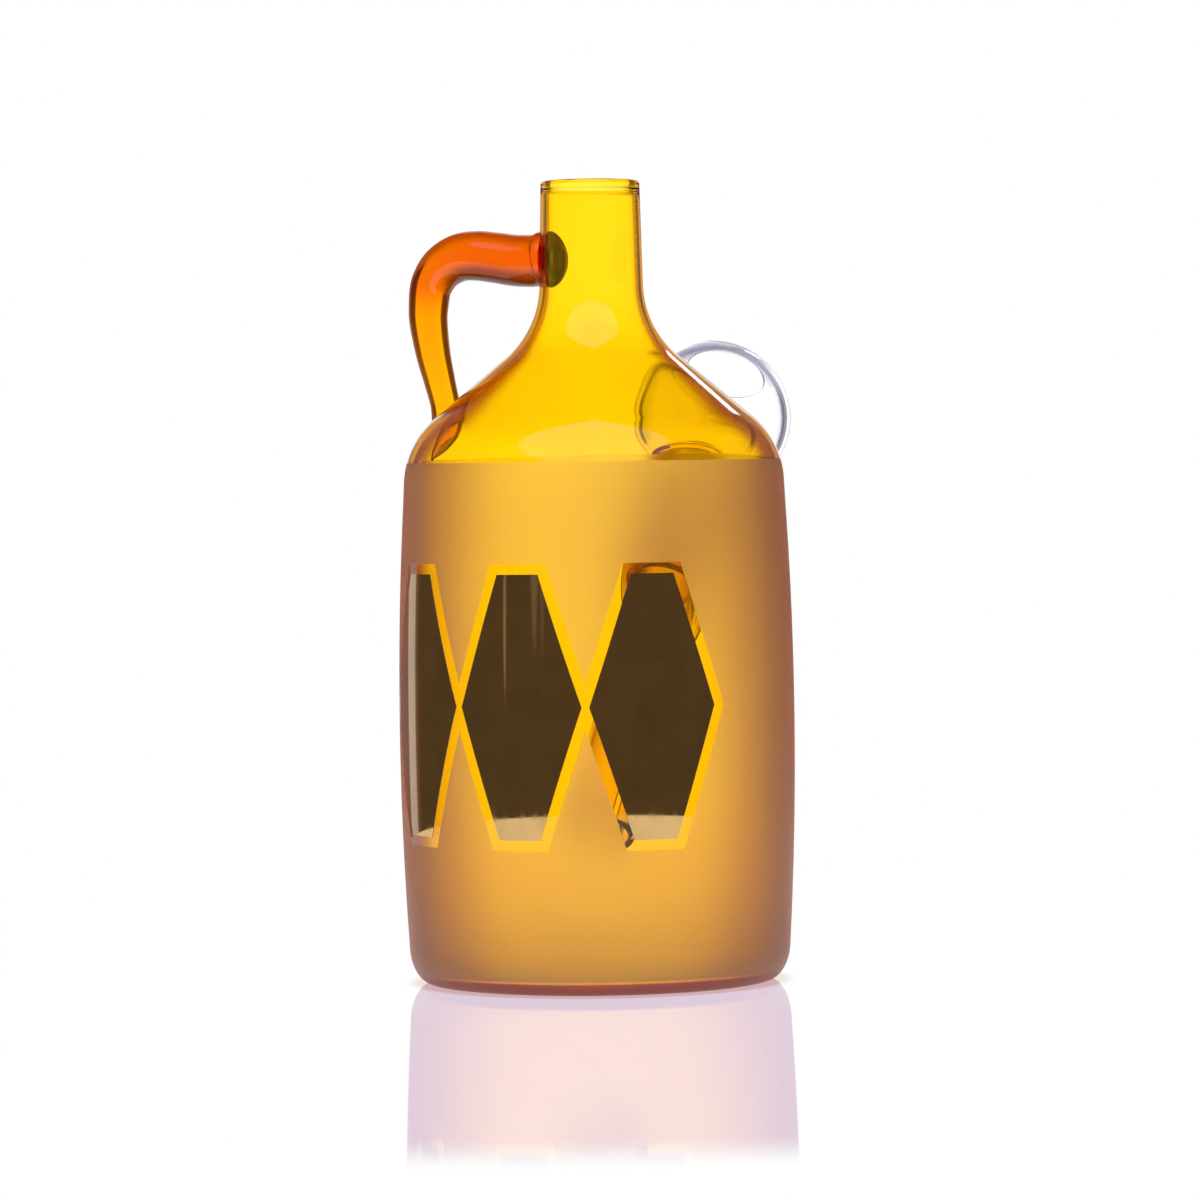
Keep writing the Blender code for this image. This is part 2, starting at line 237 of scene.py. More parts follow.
studio = {
    "white": 1.0,
    "radius": 4.0,
    "floorEdge": 0.40,
    "sheenRadius": 0.31,
    "sheen": (0.34, 0.43, 0.31),
    # painted contact shadow under the jug, seen through the glass
    "contact": (0.22, 0.20, 0.21),
    "contactEdge": (0.05, 0.10),
    "shade": (0.80, 0.62, 0.58),
    "shadeEdge": (0.040, 0.0442),
}

# brightness of the room by direction, in degrees from the middle of the backdrop
backdrop = {
    "left": (-32, -27),
    "right": (24, 29),
    "top": (10, 30),
    "bottom": (-60, -50),
    "bright": (1.36, 1.36, 1.36, 1),
    "around": (0.20, 0.17, 0.25, 1),
    "above": (0.45, 0.41, 0.56, 1),
    "open": (1.15, 1.12, 1.15, 1),       # the white room beyond the dark screens
    "screenEdge": (55, 66),              # the screens' outer edge, to either side
    "screenFoot": (-19, -11),
    "overhead": (0.07, 0.05, 0.06, 1),   # the ceiling is left dark
    "ceiling": (32, 56),
    "aboveFrom": (8, 22),                # where the screens turn paler
}
room = {
    "front": (0.105, 0.085, 0.065, 1),
    "side": (0.28, 0.17, 0.18, 1),
    "sideEdge": (124, 132),        # degrees away from the camera's side
    "backdrop": (1.0, 1.0, 1.0, 1),
    "window": {"left": (-15, -12), "right": (12, 15), "top": (36, 50), "bottom": (-21, -13)},
    "above": (24, 40),
    "aboveShare": 0.12,
}


def glow(name, colour, strength=1.0):
    material = bpy.data.materials.new(name)
    material.use_nodes = True
    tree = material.node_tree
    tree.nodes.remove(tree.nodes["Principled BSDF"])
    light = addNode(tree, "ShaderNodeEmission",
                    {"Color": (*colour, 1), "Strength": strength})
    tree.links.new(light.outputs[0], tree.nodes["Material Output"].inputs["Surface"])
    return material, tree, light


def makeDome(name, radius, reflected, through):
    outline = arcPoints((0, 0), radius, 90, -90, 36)
    mesh = turnProfile(name, [(max(r, 0), h) for r, h in outline], 72, closed=False)
    dome = bpy.data.objects.new(name, mesh)
    scene.collection.objects.link(dome)
    dome.matrix_world = eye.matrix_world @ Matrix.Translation((0, 0, -view["distance"]))
    dome.visible_camera = False
    dome.visible_diffuse = False
    dome.visible_shadow = False
    dome.visible_volume_scatter = False
    dome.visible_glossy = reflected
    dome.visible_transmission = through
    material, tree, light = glow(name, (1, 1, 1))
    mesh.materials.append(material)
    where = addNode(tree, "ShaderNodeTexCoord").outputs["Object"]
    x, y, z = addNode(tree, "ShaderNodeSeparateXYZ", {0: where}).outputs[:3]
    away = maths(tree, "MULTIPLY", z, -1)
    flat = maths(tree, "SQRT", maths(tree, "ADD", maths(tree, "MULTIPLY", x, x),
                                     maths(tree, "MULTIPLY", z, z)))
    across = maths(tree, "DEGREES", maths(tree, "ARCTAN2", x, away))
    up = maths(tree, "DEGREES", maths(tree, "ARCTAN2", y, flat))
    return tree, light, across, up


def windowShare(tree, across, up, window):
    share = remap(tree, across, *window["left"], 0, 1)
    for value, edge, ends in ((across, "right", (1, 0)), (up, "top", (1, 0)),
                              (up, "bottom", (0, 1))):
        share = maths(tree, "MULTIPLY", share, remap(tree, value, *window[edge], *ends))
    return share


def fromBehind(tree, across, up):
    cosine = maths(tree, "MULTIPLY", maths(tree, "COSINE", maths(tree, "RADIANS", across)),
                   maths(tree, "COSINE", maths(tree, "RADIANS", up)))
    return maths(tree, "DEGREES", maths(tree, "ARCCOSINE", cosine))


def makeBackdrop():
    tree, light, across, up = makeDome("backdropLight", studio["radius"], False, True)
    screen = blendColours(tree, remap(tree, up, *backdrop["aboveFrom"], 0, 1),
                          backdrop["around"], backdrop["above"])
    share = maths(tree, "MULTIPLY", remap(tree, maths(tree, "ABSOLUTE", across),
                                          *backdrop["screenEdge"], 1, 0),
                  remap(tree, up, *backdrop["screenFoot"], 0, 1))
    around = blendColours(tree, share, backdrop["open"], screen)
    around = blendColours(tree, remap(tree, up, *backdrop["ceiling"], 0, 1), around,
                          backdrop["overhead"])
    tree.links.new(blendColours(tree, windowShare(tree, across, up, backdrop), around,
                                backdrop["bright"]), light.inputs["Color"])


def makeRoom():
    tree, light, across, up = makeDome("roomLight", studio["radius"] + 0.1, True, False)
    fromCamera = maths(tree, "SUBTRACT", 180, fromBehind(tree, across, up))
    colour = blendColours(tree, remap(tree, fromCamera, *room["sideEdge"], 0, 1),
                          room["front"], room["side"])
    dim = remap(tree, up, *room["above"], 1, room["aboveShare"])
    colour = addNode(tree, "ShaderNodeVectorMath", {0: colour, "Scale": dim},
                     operation="SCALE").outputs[0]
    colour = blendColours(tree, windowShare(tree, across, up, room["window"]), colour,
                          room["backdrop"])
    for box in softboxes:
        colour = blendColours(tree, softboxShare(tree, across, up, box), colour,
                              (*box["colour"], 1))
    tree.links.new(colour, light.inputs["Color"])


softboxes = [
    # middle: degrees right of the camera's side, then degrees up; size: half of each
    {"middle": (0, 59), "size": (64, 34), "soft": 0.05, "colour": (0.62, 0.60, 1.30)},
    {"middle": (160, 29.5), "size": (3.4, 4.6), "soft": 0.2, "colour": (4.5, 4.5, 4.6)},
    {"middle": (-35.6, 5.5), "size": (2.6, 6.5), "soft": 0.2, "colour": (0.19, 0.17, 0.17)},
    {"middle": (-30.9, 5.5), "size": (1.8, 6.5), "soft": 0.3, "colour": (0.16, 0.14, 0.14)},
    {"middle": (-54, 0), "size": (0.9, 3), "soft": 0.4, "colour": (0.30, 0.27, 0.26)},
    {"middle": (-136, 0), "size": (5.5, 14), "soft": 0.2, "colour": (0.62, 0.66, 0.85)},
]


def softboxShare(tree, across, up, box):
    fromFront = maths(tree, "SUBTRACT", 180, maths(tree, "ABSOLUTE", across))
    fromFront = maths(tree, "MULTIPLY", fromFront, maths(tree, "SIGN", across))
    sideways = maths(tree, "DIVIDE", maths(tree, "SUBTRACT", fromFront, box["middle"][0]),
                     box["size"][0])
    upward = maths(tree, "DIVIDE", maths(tree, "SUBTRACT", up, box["middle"][1]), box["size"][1])
    far = maths(tree, "SQRT", maths(tree, "ADD", maths(tree, "MULTIPLY", sideways, sideways),
                                    maths(tree, "MULTIPLY", upward, upward)))
    return remap(tree, far, 1 - box["soft"], 1 + box["soft"], 1, 0)


def makeWorld():
    world = bpy.data.worlds.new("studio")
    scene.world = world
    world.use_nodes = True
    light = world.node_tree.nodes["Background"]
    light.inputs["Color"].default_value = (1, 1, 1, 1)
    light.inputs["Strength"].default_value = studio["white"]
    world.cycles.sampling_method = "NONE"


def makeFloor():
    for name, inner, outer, reflected in (("floor", 0, studio["floorEdge"], True),
                                          ("floorBeyond", studio["floorEdge"], 12, False)):
        mesh = turnProfile(name, [(inner, 0), (outer, 0)], 128, closed=False)
        floor = bpy.data.objects.new(name, mesh)
        scene.collection.objects.link(floor)
        floor.location = (0, 0, -0.15 * mm)
        floor.visible_glossy = reflected
        floor.visible_transmission = reflected
        floor.visible_shadow = False
        material, tree, light = glow(name, (1, 1, 1), studio["white"])
        mesh.materials.append(material)
        if reflected:
            addFloorSheen(tree, light)


def addFloorSheen(tree, light):
    where = addNode(tree, "ShaderNodeTexCoord").outputs["Object"]
    reach = addNode(tree, "ShaderNodeVectorMath", {0: where}, operation="LENGTH").outputs["Value"]
    ray = addNode(tree, "ShaderNodeLightPath").outputs
    share = remap(tree, reach, studio["sheenRadius"] - 0.03, studio["sheenRadius"] + 0.015, 1, 0)
    share = maths(tree, "MULTIPLY", share, ray["Is Camera Ray"])
    # a polished floor mirrors less when looked at from higher up
    facing = addNode(tree, "ShaderNodeLayerWeight", {"Blend": 0.5}).outputs["Facing"]
    share = maths(tree, "MULTIPLY", share, remap(tree, facing, 0.70, 0.86, 0.3, 1))
    sheen = blendColours(tree, share, (0, 0, 0, 1), (*studio["sheen"], 1))
    mirror = addNode(tree, "ShaderNodeBsdfGlossy", {"Color": sheen, "Roughness": 0.03})
    rest = addNode(tree, "ShaderNodeVectorMath", {0: (1, 1, 1), 1: sheen}, operation="SUBTRACT")
    near = blendColours(tree, remap(tree, reach, *studio["shadeEdge"], 0, 1),
                        (*studio["shade"], 1), (1, 1, 1, 1))
    tree.links.new(multiplyColours(tree, rest.outputs[0], near), light.inputs["Color"])
    both = addNode(tree, "ShaderNodeAddShader", {0: light.outputs[0], 1: mirror.outputs[0]})
    # seen through the glass, only a painted contact shadow under the jug is there
    under = addNode(tree, "ShaderNodeEmission", {"Color": (*studio["contact"], 1)})
    away = addNode(tree, "ShaderNodeBsdfTransparent")
    contactShadowPatch = addNode(tree, "ShaderNodeMixShader",
                    {0: remap(tree, reach, *studio["contactEdge"], 0, 1),
                     1: under.outputs[0], 2: away.outputs[0]})
    mixed = addNode(tree, "ShaderNodeMixShader",
                    {0: ray["Is Transmission Ray"], 1: both.outputs[0], 2: contactShadowPatch.outputs[0]})
    tree.links.new(mixed.outputs[0], tree.nodes["Material Output"].inputs["Surface"])


scene.view_settings.view_transform = "Standard"
scene.cycles.max_bounces = 20
scene.cycles.transmission_bounces = 20
scene.cycles.glossy_bounces = 8
eye = makeCamera()
makeWorld()
makeFloor()
makeBackdrop()
makeRoom()
print("studio ready")


jug = {
    "height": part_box("jug_body")[1].z,
    "belly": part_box("jug_body")[1].x,
    "bellyHeight": 58 * mm,
    "sideTaper": 1.5 * mm,
    "sideSpan": 49.3 * mm,
    "sideTop": 107 * mm,
    "baseRadius": 37.5 * mm,
    "baseEdge": 8.5 * mm,
    "punt": 1.0 * mm,               # hollow in the underside
    "floor": 3.0 * mm,
    "wall": 2.1 * mm,
    "shoulderWall": 1.35 * mm,
    "neckWall": 1.15 * mm,
    "boreShift": 0.12 * mm,         # the bore of the neck sits a little off centre
    "shoulderCorner": (41.9 * mm, 120.1 * mm),
    "shoulderRound": 20 * mm,
    "neckCorner": (11.8 * mm, 145.1 * mm),
    "neckRound": 21 * mm,
    "neckTop": 11.05 * mm,
    "lip": 0.95 * mm,                # radius of the fire-polished bead
    "waviness": 0.10 * mm,
    "frostTop": 115.6 * mm,
    "segments": 192,
}


def sideRadius(height):
    return jug["belly"] - jug["sideTaper"] * ((height - jug["bellyHeight"]) / jug["sideSpan"]) ** 2


def jugOutline():
    top = (jug["neckTop"], jug["height"] - jug["lip"])
    sideTop = (sideRadius(jug["sideTop"]), jug["sideTop"])
    points = [top]
    points += roundCorner(top, jug["neckCorner"], jug["shoulderCorner"], jug["neckRound"], 24)
    points += roundCorner(jug["neckCorner"], jug["shoulderCorner"], sideTop,
                          jug["shoulderRound"], 24)
    drop = jug["sideTop"] - jug["baseEdge"]
    points += [(sideRadius(jug["sideTop"] - drop * i / 60), jug["sideTop"] - drop * i / 60)
               for i in range(61)]
    edgeWidth = sideRadius(jug["baseEdge"]) - jug["baseRadius"]
    points += [(jug["baseRadius"] + edgeWidth * cos(radians(5 * i)),
                jug["baseEdge"] * (1 - sin(radians(5 * i)))) for i in range(1, 19)]
    return evenly(points, 1.0 * mm)


def smoothShare(value, low, high):
    share = min(max((value - low) / (high - low), 0), 1)
    return share * share * (3 - 2 * share)


def wallAt(point):
    shoulder = smoothShare(point[1], 104 * mm, 124 * mm)
    neck = smoothShare(point[1], 132 * mm, 154 * mm)
    wall = jug["wall"] + (jug["shoulderWall"] - jug["wall"]) * shoulder
    wall += (jug["neckWall"] - jug["shoulderWall"]) * neck
    wall += (2 * jug["lip"] - jug["neckWall"]) * smoothShare(
        point[1], jug["height"] - 2.5 * mm, jug["height"] - jug["lip"])
    return -wall


def jugProfile():
    outline = jugOutline()
    inside = [p for p in offsetOutline(outline, wallAt) if p[1] > jug["floor"]][1:]
    lip, top = jug["lip"], jug["height"] - jug["lip"]
    rim = arcPoints((jug["neckTop"] - lip, top), lip, 180, 0, 16)
    under = [(jug["baseRadius"] * share, jug["punt"] * (1 - share ** 2) ** 2)
             for share in (0.97, 0.9, 0.8, 0.65, 0.5, 0.35, 0.2, 0.1, 0)]
    floorEdge = inside[-1][0]
    floor = [(floorEdge * share, jug["floor"] + 0.8 * mm * (1 - share ** 2) ** 2)
             for share in (0, 0.1, 0.2, 0.35, 0.5, 0.65, 0.8, 0.92, 1)]
    inner = floor + inside[::-1]
    outer = rim + outline[1:] + under
    marks = [0.0] * len(inner) + [1.0] * len(outer)
    return inner + outer, marks


def makeJug(material):
    profile, marks = jugProfile()
    mesh = turnProfile("jugBody", profile, jug["segments"], closed=False, marks=marks)
    for vert in mesh.vertices:
        if mesh.attributes["outerSide"].data[vert.index].value < 0.5:
            side = Vector((vert.co.x, vert.co.y, 0))
            if side.length > 2 * mm:
                swell = noise.noise(Vector((vert.co.x * 60, vert.co.y * 60, vert.co.z * 28)))
                vert.co += side.normalized() * swell * jug["waviness"]
            shift = smoothShare(vert.co.z, 112 * mm, 130 * mm) * jug["boreShift"]
            shift *= 1 - smoothShare(vert.co.z, jug["height"] - 4 * mm, jug["height"] - 2.4 * mm)
            vert.co += Vector((cos(view["azimuth"]), sin(view["azimuth"]), 0)) * shift
    return makePiece("jugBody", mesh, "jug", ["jug_body"], material)


motif = {
    "pitch": radians(39.5),
    "halfAngle": radians(18.7),
    "tipShare": 0.34,
    "border": 2.3 * mm,
    "bottom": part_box("lustre_motif_centre")[0].z,
    "top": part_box("lustre_motif_centre")[1].z,
    "thickness": 0.12 * mm,
    "lift": 0.02 * mm,
}
motif["halfWidth"] = jug["belly"] * sin(motif["halfAngle"])
motif["halfHeight"] = (motif["top"] - motif["bottom"]) / 2 / (1 - motif["tipShare"])
motif["middle"] = (motif["top"] + motif["bottom"]) / 2


def windowMask(tree, where):
    x, y, z = addNode(tree, "ShaderNodeSeparateXYZ", {0: where}).outputs[:3]
    angle = maths(tree, "ARCTAN2", x, maths(tree, "MULTIPLY", y, -1))
    nearest = maths(tree, "ROUND", maths(tree, "DIVIDE", angle, motif["pitch"]))
    nearest = maths(tree, "MINIMUM", maths(tree, "MAXIMUM", nearest, -1), 1)
    turned = maths(tree, "SUBTRACT", angle, maths(tree, "MULTIPLY", nearest, motif["pitch"]))
    radius = maths(tree, "SQRT", maths(tree, "ADD", maths(tree, "MULTIPLY", x, x),
                                       maths(tree, "MULTIPLY", y, y)))
    across = maths(tree, "ABSOLUTE", maths(tree, "MULTIPLY", radius, maths(tree, "SINE", turned)))
    facing = maths(tree, "GREATER_THAN", maths(tree, "COSINE", turned), 0)
    up = maths(tree, "ABSOLUTE", maths(tree, "SUBTRACT", z, motif["middle"]))
    slope = sqrt(1 / motif["halfWidth"] ** 2 + 1 / motif["halfHeight"] ** 2)
    lozenge = maths(tree, "ADD", maths(tree, "DIVIDE", across, motif["halfWidth"]),
                    maths(tree, "DIVIDE", up, motif["halfHeight"]))
    fromSide = maths(tree, "DIVIDE", maths(tree, "SUBTRACT", lozenge, 1), slope)
    fromTip = maths(tree, "SUBTRACT", up, (motif["top"] - motif["bottom"]) / 2)
    outside = maths(tree, "MAXIMUM", fromSide, fromTip)
    clear = remap(tree, outside, motif["border"] - 0.12 * mm, motif["border"] + 0.12 * mm, 1, 0)
    return maths(tree, "MULTIPLY", clear, facing)


amber = {
    "neck": (1.0, 0.85, 0.40, 1),
    "shoulder": (1.0, 0.845, 0.34, 1),
    "frosted": (0.875, 0.745, 0.24, 1),
    # painted edge shade and painted pink reflection on the frost
    "frostedEdgeShade": (0.62, 0.42, 0.48, 1),
    "frostedLow": (0.98, 0.84, 0.70, 1),    # multiplies the frost, darker towards the bottom
    # painted edge shade on the clear glass
    "clearEdgeShade": (0.43, 0.16, 0.30, 1),
    "streak": (1.0, 0.80, 0.25, 1),
    "perMetre": (4, 75, 1400),              # what a metre of the glass absorbs
    "frostRoughness": 0.49,
    "frostThrough": 0.955,                  # the rest is scattered back by the frost
}


def jugMaterial():
    material, tree, shader, where = startMaterial("amberGlassFrosted")
    height = addNode(tree, "ShaderNodeSeparateXYZ", {0: where}).outputs[2]
    outer = addNode(tree, "ShaderNodeAttribute", attribute_name="outerSide").outputs["Fac"]
    ragged = maths(tree, "MULTIPLY", noiseAt(tree, where, 900, 3), 0.25 * mm)
    edge = maths(tree, "ADD", height, ragged)
    blasted = remap(tree, edge, jug["frostTop"], jug["frostTop"] + 0.35 * mm, 1, 0)
    frost = maths(tree, "MULTIPLY", blasted, maths(tree, "GREATER_THAN", outer, 0.5))
    frost = maths(tree, "MULTIPLY", frost, maths(tree, "SUBTRACT", 1, windowMask(tree, where)))

    stretchShare = remap(tree, height, 132 * mm, 156 * mm, 0, 1)
    clearColour = blendColours(tree, stretchShare, amber["shoulder"], amber["neck"])
    streaks = noiseAt(tree, where, 45, 3, stretch=(1, 1, 0.12))
    clearColour = blendColours(tree, remap(tree, streaks, 0.3, 0.7, 0, 0.35), clearColour,
                               amber["streak"])
    facing = addNode(tree, "ShaderNodeLayerWeight", {"Blend": 0.5}).outputs["Facing"]
    # painted shade and reflection: the frost turns darker and pinker towards its outline
    frosted = blendColours(tree, remap(tree, facing, 0.06, 0.36, 0, 1), amber["frosted"],
                           amber["frostedEdgeShade"])
    low = blendColours(tree, remap(tree, height, 8 * mm, 62 * mm, 1, 0), (1, 1, 1, 1),
                       amber["frostedLow"])
    frosted = multiplyColours(tree, frosted, low)
    # painted shade: the clear glass turns dark purple-brown towards its outline
    clearColour = blendColours(tree, remap(tree, facing, 0.53, 0.68, 0, 1), clearColour,
                               amber["clearEdgeShade"])
    colour = blendColours(tree, frost, clearColour, frosted)
    tree.links.new(colour, shader.inputs["Base Color"])

    cloud = remap(tree, noiseAt(tree, where, 30, 4), 0.3, 0.7, -0.03, 0.03)
    rough = maths(tree, "ADD", cloud, amber["frostRoughness"])
    rough = maths(tree, "MULTIPLY", rough, frost)
    tree.links.new(rough, shader.inputs["Roughness"])

    grain = noiseAt(tree, where, 2600, 2)
    grain = maths(tree, "MULTIPLY", grain, frost)
    normal = bumpFrom(tree, grain, 0.35, 0.05 * mm)
    tree.links.new(normal, shader.inputs["Normal"])

    tree.links.new(remap(tree, frost, 0, 1, 1, amber["frostThrough"], smooth=False),
                   shader.inputs["Transmission Weight"])
    shader.inputs["IOR"].default_value = glassIor
    absorb(tree, amber["perMetre"])
    return material


makeJug(jugMaterial())
print("jug made")


def lustreMaterial():
    material, tree, shader, where = startMaterial("bronzeLustre")
    cloud = noiseAt(tree, where, 120, 4, 0.6)
    colour = blendColours(tree, remap(tree, cloud, 0.3, 0.7, 0, 1),
                          (0.62, 0.40, 0.165, 1), (0.72, 0.46, 0.185, 1))
    tree.links.new(colour, shader.inputs["Base Color"])
    marks = noiseAt(tree, where, 400, 3, 0.6, stretch=(1, 1, 0.3))
    tree.links.new(remap(tree, marks, 0.35, 0.75, 0.012, 0.05), shader.inputs["Roughness"])
    ripple = noiseAt(tree, where, 60, 2, stretch=(1, 1, 0.4))
    tree.links.new(bumpFrom(tree, ripple, 0.05, 0.05 * mm), shader.inputs["Normal"])
    shader.inputs["Metallic"].default_value = 1
    return material


def makeMotif(node, turn, material):
    rows, columns = 56, 24
    shape = bmesh.new()
    layers = []
    for lift in (motif["lift"], motif["lift"] + motif["thickness"]):
        grid = []
        for i in range(rows + 1):
            height = motif["bottom"] + (motif["top"] - motif["bottom"]) * i / rows
            up = abs(height - motif["middle"]) / motif["halfHeight"]
            halfWidth = motif["halfWidth"] * (1 - up)
            radius = sideRadius(height) + lift
            line = []
            for j in range(columns + 1):
                across = halfWidth * (2 * j / columns - 1)
                angle = turn + atan2(across, sqrt(radius ** 2 - across ** 2))
                line.append(shape.verts.new((radius * sin(angle), -radius * cos(angle), height)))
            grid.append(line)
        layers.append(grid)
    for grid in layers:
        for low, high in zip(grid, grid[1:]):
            for j in range(columns):
                shape.faces.new((low[j], low[j + 1], high[j + 1], high[j]))
    back, front = layers
    edgeOf = lambda grid: (grid[0] + [line[-1] for line in grid[1:-1]] + grid[-1][::-1]
                           + [line[0] for line in grid[-2:0:-1]])
    inner, outer = edgeOf(back), edgeOf(front)
    for j in range(len(inner)):
        k = (j + 1) % len(inner)
        shape.faces.new((inner[j], inner[k], outer[k], outer[j]))
    mesh = meshFrom(shape, node, 40)
    name = node.replace("lustre_motif_", "lustreMotif").replace("left", "Left")
    name = name.replace("centre", "Centre").replace("right", "Right")
    return makePiece(name, mesh, "jug", [node], material)


lustre = lustreMaterial()
for node, place in (("lustre_motif_left", -1), ("lustre_motif_centre", 0),
                    ("lustre_motif_right", 1)):
    makeMotif(node, place * motif["pitch"], lustre)
print("lustre motifs made")


handle = {
    # distance from the jug's axis, height, rod radius
    "route": [(10.2, 160.8, 6.3), (11.6, 160.8, 6.3), (12.6, 160.7, 5.9), (14.8, 160.6, 5.85),
              (18.5, 160.8, 5.8), (23.0, 161.5, 5.7), (28.0, 162.1, 5.6), (32.3, 161.7, 5.4),
              (36.4, 159.5, 5.1), (39.1, 155.7, 4.75), (39.9, 151.0, 4.5), (39.9, 147.0, 4.3),
              (38.9, 140.3, 3.9), (37.3, 133.7, 3.5), (36.1, 128.5, 3.3), (36.1, 124.0, 3.2),
              (37.8, 120.2, 2.6), (39.7, 117.6, 1.7), (41.2, 115.7, 0.6)],
    "steps": 8,
    "sides": 48,
    "perMetre": (6, 120, 1500),
    "deepFrom": 148 * mm,           # the rod turns darker and more orange towards the neck
    "deepTo": 157 * mm,
}


def splinePoint(before, start, end, after, share):
    square, cube = share * share, share ** 3
    return (start * (2 - 5 * square + 3 * cube) + end * (share + 4 * square - 3 * cube)
            + before * (2 * square - share - cube) + after * (cube - square)) / 2


def sweptRod(name, route, steps, sides):
    stops = [Vector(stop) * mm for stop in route]
    ends = [2 * stops[0] - stops[1]] + stops + [2 * stops[-1] - stops[-2]]
    points = [splinePoint(*ends[i - 1:i + 3], step / steps)
              for i in range(1, len(ends) - 2) for step in range(steps)] + [stops[-1]]
    shape = bmesh.new()
    rings = []
    for i, point in enumerate(points):
        before, after = points[max(i - 1, 0)], points[min(i + 1, len(points) - 1)]
        along = Vector((after.x - before.x, after.y - before.y)).normalized()
        ring = []
        for j in range(sides):
            angle = 2 * pi * j / sides
            off = point.z * cos(angle)
            ring.append(shape.verts.new((-(point.x - along.y * off), point.z * sin(angle),
                                         point.y + along.x * off)))
        rings.append(ring)
    for low, high in zip(rings, rings[1:]):
        for j in range(sides):
            k = (j + 1) % sides
            shape.faces.new((low[j], low[k], high[k], high[j]))
    shape.faces.new(rings[0])
    shape.faces.new(rings[-1][::-1])
    return meshFrom(shape, name, 50)


def amberRodMaterial(name, colour, deep, perMetre, deepFrom=None, deepTo=None,
                     edge=(0.36, 0.25, 0.75, 1)):
    material, tree, shader, where = startMaterial(name)
    streaks = noiseAt(tree, where, 90, 3, stretch=(1, 1, 0.3))
    share = remap(tree, streaks, 0.35, 0.65, 0, 1)
    if deepFrom is not None:
        height = addNode(tree, "ShaderNodeSeparateXYZ", {0: where}).outputs[2]
        wander = maths(tree, "MULTIPLY", share, 4 * mm)
        share = remap(tree, maths(tree, "ADD", height, wander), deepFrom, deepTo, 0, 1)
    mixed = blendColours(tree, share, colour, deep)
    # painted edge shade: the glass turns darker and purple towards its outline
    facing = addNode(tree, "ShaderNodeLayerWeight", {"Blend": 0.5}).outputs["Facing"]
    paintedEdgeShade = blendColours(tree, remap(tree, facing, 0.16, 0.46, 0, 1), (1, 1, 1, 1), edge)
    tree.links.new(multiplyColours(tree, mixed, paintedEdgeShade), shader.inputs["Base Color"])
    film = noiseAt(tree, where, 220, 3)
    ground = addNode(tree, "ShaderNodeAttribute", attribute_name="outerSide").outputs["Fac"]
    rough = maths(tree, "ADD", remap(tree, film, 0.4, 0.7, 0.0, 0.025),
                  maths(tree, "MULTIPLY", ground, 0.32))
    tree.links.new(rough, shader.inputs["Roughness"])
    ripple = noiseAt(tree, where, 110, 2)
    tree.links.new(bumpFrom(tree, ripple, 0.3, 0.1 * mm), shader.inputs["Normal"])
    shader.inputs["Transmission Weight"].default_value = 1
    shader.inputs["IOR"].default_value = glassIor
    absorb(tree, perMetre)
    return material


rodGlass = amberRodMaterial("amberRodGlass", (0.95, 0.80, 0.3, 1), (0.76, 0.40, 0.2, 1),
                            handle["perMetre"], handle["deepFrom"], handle["deepTo"])
weldGlass = amberRodMaterial("amberWeldGlass", (0.34, 0.25, 0.22, 1), (0.26, 0.19, 0.17, 1),
                             (560, 720, 1100))
rodMesh = sweptRod("handle", handle["route"], handle["steps"], handle["sides"])
makePiece("handleRod", rodMesh, "jug", ["handle", "handle_foot_seal"], rodGlass)
print("handle made")


tube = {
    "angle": atan2(jointAxis.z, jointAxis.y),
    "wallPoint": Vector((0, 43.5, 88.5)) * mm,
    "stemRadius": 8 * mm,
    "stemBore": 6.5 * mm,
    "stemInside": 70.6 * mm,
    "stemTop": 13 * mm,
    "socketRadius": 9.5 * mm,
    "socketEnd": 30.8 * mm,
    "bead": 1.3 * mm,               # rolled edge of the mouth
    "socketMouth": 7.4 * mm,
    "taper": 0.05,
    "taperLength": 18 * mm,
    "segments": 96,
    "perMetre": (3, 35, 700),
    "slits": 3,                     # pairs, cut across the lower end
    "slitSize": (9 * mm, 1.4 * mm),
    "firstSlit": radians(15),
    "sealRadius": 11.0 * mm,
    "sealLift": 2.2 * mm,
}
bowl = {
    "centre": 46.8 * mm,
    "radius": 18.3 * mm,
    "wall": 2.0 * mm,
    "rimWall": 1.9 * mm,
    "mouth": 10.6 * mm,
    "hole": 2.6 * mm,
    "stemLength": 18 * mm,
    "stemBore": 4.6 * mm,
    "gap": 0.3 * mm,
}


def onJointAxis(mesh):
    mesh.transform(Matrix.Translation(tube["wallPoint"])
                   @ Matrix.Rotation(tube["angle"] - pi / 2, 4, "X"))
    return mesh


def tubeMaterial():
    # a paler painted edge shade on the tube
    return amberRodMaterial("amberTubeGlass", (1.0, 0.93, 0.62, 1), (1.0, 0.89, 0.54, 1),
                            tube["perMetre"], edge=(0.8, 0.66, 0.75, 1))


def clearMaterial(name, ground=0.0):
    material, tree, shader, where = startMaterial(name)
    film = noiseAt(tree, where, 150, 3)
    tint = blendColours(tree, film, (0.975, 0.965, 0.99, 1), (0.94, 0.93, 0.965, 1))
    tree.links.new(tint, shader.inputs["Base Color"])
    tree.links.new(remap(tree, film, 0.45, 0.7, ground, ground * 1.15 + 0.02),
                   shader.inputs["Roughness"])
    if ground:
        grain = noiseAt(tree, where, 2600, 2)
        tree.links.new(bumpFrom(tree, grain, 0.3, 0.04 * mm), shader.inputs["Normal"])
    shader.inputs["Transmission Weight"].default_value = 1
    shader.inputs["IOR"].default_value = glassIor
    return material


